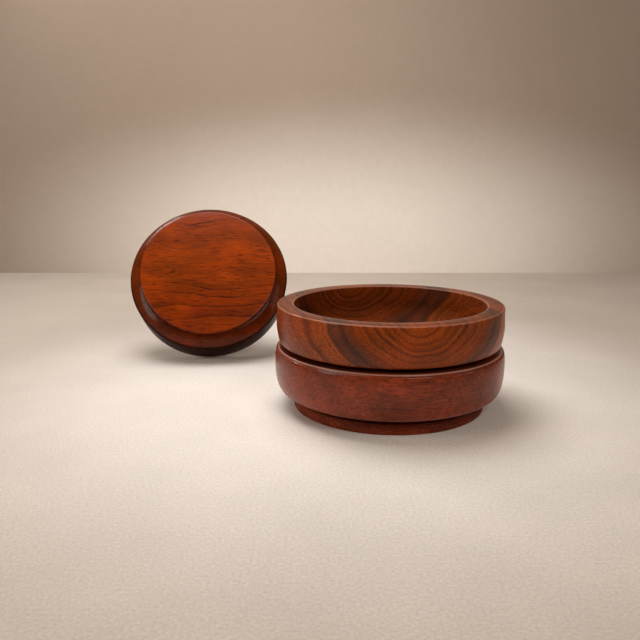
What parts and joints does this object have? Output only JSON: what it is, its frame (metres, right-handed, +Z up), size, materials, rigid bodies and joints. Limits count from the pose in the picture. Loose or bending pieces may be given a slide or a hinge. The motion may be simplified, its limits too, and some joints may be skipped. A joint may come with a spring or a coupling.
{
  "type": "go stone bowl",
  "caption": "Turned wooden go stone bowl with a disc foot, a lid that plugs its mouth and serves as a tray, and a second bowl leaning on its rim.",
  "frame": {"origin": "middle of the bowl's foot, on the surface that it stands on", "axes": "+Z up along the turning axis of the bowl and lid, -Y to the front, +X to the right as seen from the front"},
  "size_m": [0.32, 0.2991, 0.136],
  "materials": {
    "bowl_wood": "satin lacquer, even reddish brown",
    "lid_wood": "satin lacquer, strongly figured red-brown heartwood",
    "second_bowl_wood": "satin lacquer, orange-brown face grain on the foot"
  },
  "bodies": {
    "bowl": {"bowl": "bowl_wood"},
    "lid": {"lid": "lid_wood"},
    "second_bowl": {"second_bowl": "second_bowl_wood"}
  },
  "joints": [
    {"name": "lid_lift", "type": "slide", "parent": "bowl", "child": "lid", "axis": [0, 0, 1], "range_m": [0, 0.1]},
    {"name": "second_bowl_lift", "type": "slide", "parent": "bowl", "child": "second_bowl", "axis": [0, 0, 1], "range_m": [0, 0.1]}
  ]
}
